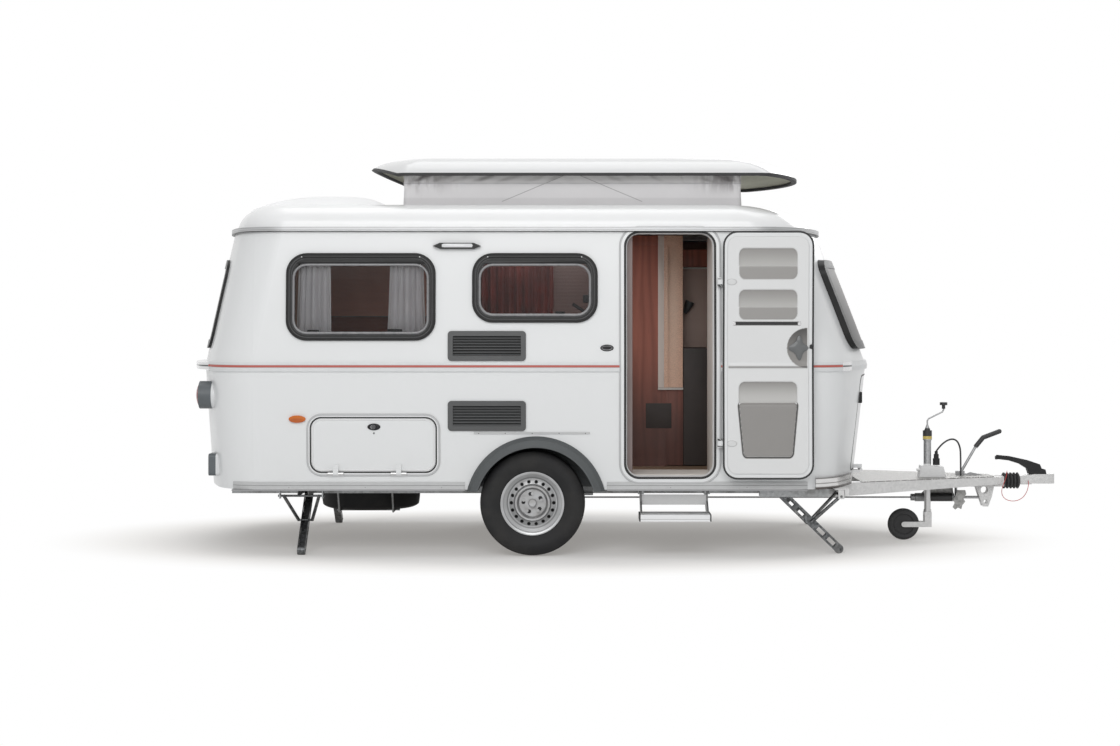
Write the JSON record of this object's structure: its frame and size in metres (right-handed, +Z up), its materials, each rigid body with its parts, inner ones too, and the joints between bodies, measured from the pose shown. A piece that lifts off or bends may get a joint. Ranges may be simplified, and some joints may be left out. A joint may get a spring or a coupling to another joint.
{
  "type": "travel caravan",
  "caption": "Travel caravan with lifting roof, side entrance, waist moulding, drawbar with coupling and jockey wheel, and corner steadies.",
  "frame": {"origin": "on the ground, at the middle of the overall length and width", "axes": "+X forward towards the coupling, +Y left, +Z up"},
  "size_m": [5.496, 2.1534, 2.415],
  "materials": {
    "floor_board": "matt plywood",
    "wall_skin": "gloss off-white",
    "roof_moulding": "gloss moulding",
    "rail": "satin",
    "white_trim": "satin",
    "grey_frame": "satin",
    "pane": "tinted",
    "lens": "clear red",
    "steel": "zinc",
    "bright": "polished",
    "black_rubber": "matt",
    "cloth": "woven",
    "cushion_cloth": "woven",
    "furniture": "satin veneer",
    "galvanised": "hot-dip",
    "tread_plate": "chequered",
    "black_plastic": "grained",
    "red_cable": "sleeved wire",
    "tyre": "matt",
    "silver": "silver lacquer"
  },
  "bodies": {
    "caravan": {"floor": "floor_board", "side_wall_right": "wall_skin", "side_wall_left": "wall_skin", "rear_wall": "wall_skin", "front_wall": "wall_skin", "roof_shell": "roof_moulding", "gutter_rail": "rail", "skirt_rails": "rail", "belt_rail": "white_trim", "wheel_arches": "white_trim", "fridge_vents": "white_trim", "awning_light": "white_trim", "door_frame": "white_trim", "window_frames": "grey_frame", "tail_lamps": "grey_frame", "window_panes": "pane", "lamp_lenses": "lens", "locker_hinges": "steel", "grab_handles": "bright", "bellows": "black_rubber", "lead": "black_rubber", "tent": "cloth", "bench_seats": "cushion_cloth", "cabinets": "furniture", "chassis": "galvanised", "axle": "galvanised", "brake_gear": "galvanised", "jockey_post": "galvanised", "drawbar_cover": "tread_plate", "coupling_head": "galvanised", "coupling_handle": "black_plastic", "handbrake": "galvanised", "plug": "black_plastic", "breakaway_cable": "red_cable", "spare_wheel": "tyre"},
    "door": {"door_leaf": "wall_skin", "door_liner": "white_trim"},
    "side_locker": {"locker_lid": "wall_skin"},
    "gas_locker": {"gas_lid": "wall_skin"},
    "roof": {"roof_tray": "roof_moulding", "roof_seal": "black_rubber"},
    "road_wheel_right": {"tyre_right": "tyre", "wheel_right": "silver"},
    "road_wheel_left": {"tyre_left": "tyre", "wheel_left": "silver"},
    "jockey_inner": {"jockey_stem": "galvanised"},
    "jockey_castor": {"jockey_fork": "galvanised"},
    "jockey_roller": {"jockey_wheel": "tyre"},
    "entrance_step": {"step": "galvanised"},
    "brace_front_right": {"steady_brace_front_right": "galvanised"},
    "leg_front_right": {"steady_leg_front_right": "galvanised"},
    "brace_rear_right": {"steady_brace_rear_right": "galvanised"},
    "leg_rear_right": {"steady_leg_rear_right": "galvanised"},
    "brace_front_left": {"steady_brace_front_left": "galvanised"},
    "leg_front_left": {"steady_leg_front_left": "galvanised"},
    "brace_rear_left": {"steady_brace_rear_left": "galvanised"},
    "leg_rear_left": {"steady_leg_rear_left": "galvanised"}
  },
  "joints": [
    {"name": "door_hinge", "type": "hinge", "parent": "caravan", "child": "door", "pos_m": [0.512, -1.017, 1.158], "axis": [0, 0, -1], "range_deg": [0, 180]},
    {"name": "side_locker_hinge", "type": "hinge", "parent": "caravan", "child": "side_locker", "pos_m": [-1.5775, -0.99763, 0.496], "axis": [1, 0, 0], "range_deg": [0, 170]},
    {"name": "gas_locker_hinge", "type": "hinge", "parent": "caravan", "child": "gas_locker", "pos_m": [1.4483, 0, 0.471], "axis": [0, 1, 0], "range_deg": [0, 38]},
    {"name": "roof_lift", "type": "slide", "parent": "caravan", "child": "roof", "axis": [0, 0, 1], "range_m": [-0.17, 0], "deforming": ["tent"]},
    {"name": "wheel_spin_right", "type": "hinge", "parent": "caravan", "child": "road_wheel_right", "pos_m": [-0.597, -0.8805, 0.315], "axis": [0, 1, 0], "continuous": true},
    {"name": "wheel_spin_left", "type": "hinge", "parent": "caravan", "child": "road_wheel_left", "pos_m": [-0.597, 0.8805, 0.315], "axis": [0, 1, 0], "continuous": true},
    {"name": "jockey_lift", "type": "slide", "parent": "caravan", "child": "jockey_inner", "axis": [0, 0, 1], "range_m": [-0.15, 0.02]},
    {"name": "jockey_swivel", "type": "hinge", "parent": "jockey_inner", "child": "jockey_castor", "pos_m": [1.913, -0.1, 0.2], "axis": [0, 0, 1], "continuous": true},
    {"name": "jockey_wheel_spin", "type": "hinge", "parent": "jockey_castor", "child": "jockey_roller", "pos_m": [1.759, -0.1, 0.1], "axis": [0, 1, 0], "continuous": true},
    {"name": "step_slide", "type": "slide", "parent": "caravan", "child": "entrance_step", "axis": [0, 1, 0], "range_m": [0, 0.2]},
    {"name": "steady_fold_front_right", "type": "hinge", "parent": "caravan", "child": "brace_front_right", "pos_m": [1.25, -0.8, 0.355], "axis": [0, 1, 0], "range_deg": [0, 38]},
    {"name": "steady_leg_turn_front_right", "type": "hinge", "parent": "brace_front_right", "child": "leg_front_right", "pos_m": [1.0812, -0.8, 0.1915], "axis": [0, 1, 0], "range_deg": [-76, 0]},
    {"name": "steady_fold_rear_right", "type": "hinge", "parent": "caravan", "child": "brace_rear_right", "pos_m": [-1.985, -0.885, 0.355], "axis": [1, 0, 0], "range_deg": [0, 38]},
    {"name": "steady_leg_turn_rear_right", "type": "hinge", "parent": "brace_rear_right", "child": "leg_rear_right", "pos_m": [-1.985, -0.7162, 0.1915], "axis": [1, 0, 0], "range_deg": [-76, 0]},
    {"name": "steady_fold_front_left", "type": "hinge", "parent": "caravan", "child": "brace_front_left", "pos_m": [1.25, 0.8, 0.355], "axis": [0, 1, 0], "range_deg": [0, 38]},
    {"name": "steady_leg_turn_front_left", "type": "hinge", "parent": "brace_front_left", "child": "leg_front_left", "pos_m": [1.0812, 0.8, 0.1915], "axis": [0, 1, 0], "range_deg": [-76, 0]},
    {"name": "steady_fold_rear_left", "type": "hinge", "parent": "caravan", "child": "brace_rear_left", "pos_m": [-1.985, 0.885, 0.355], "axis": [-1, 0, 0], "range_deg": [0, 38]},
    {"name": "steady_leg_turn_rear_left", "type": "hinge", "parent": "brace_rear_left", "child": "leg_rear_left", "pos_m": [-1.985, 0.7162, 0.1915], "axis": [-1, 0, 0], "range_deg": [-76, 0]}
  ],
  "couplings": [
    {"joint": "steady_leg_turn_front_right", "follows": "steady_fold_front_right", "ratio": -2},
    {"joint": "steady_leg_turn_rear_right", "follows": "steady_fold_rear_right", "ratio": -2},
    {"joint": "steady_leg_turn_front_left", "follows": "steady_fold_front_left", "ratio": -2},
    {"joint": "steady_leg_turn_rear_left", "follows": "steady_fold_rear_left", "ratio": -2}
  ]
}
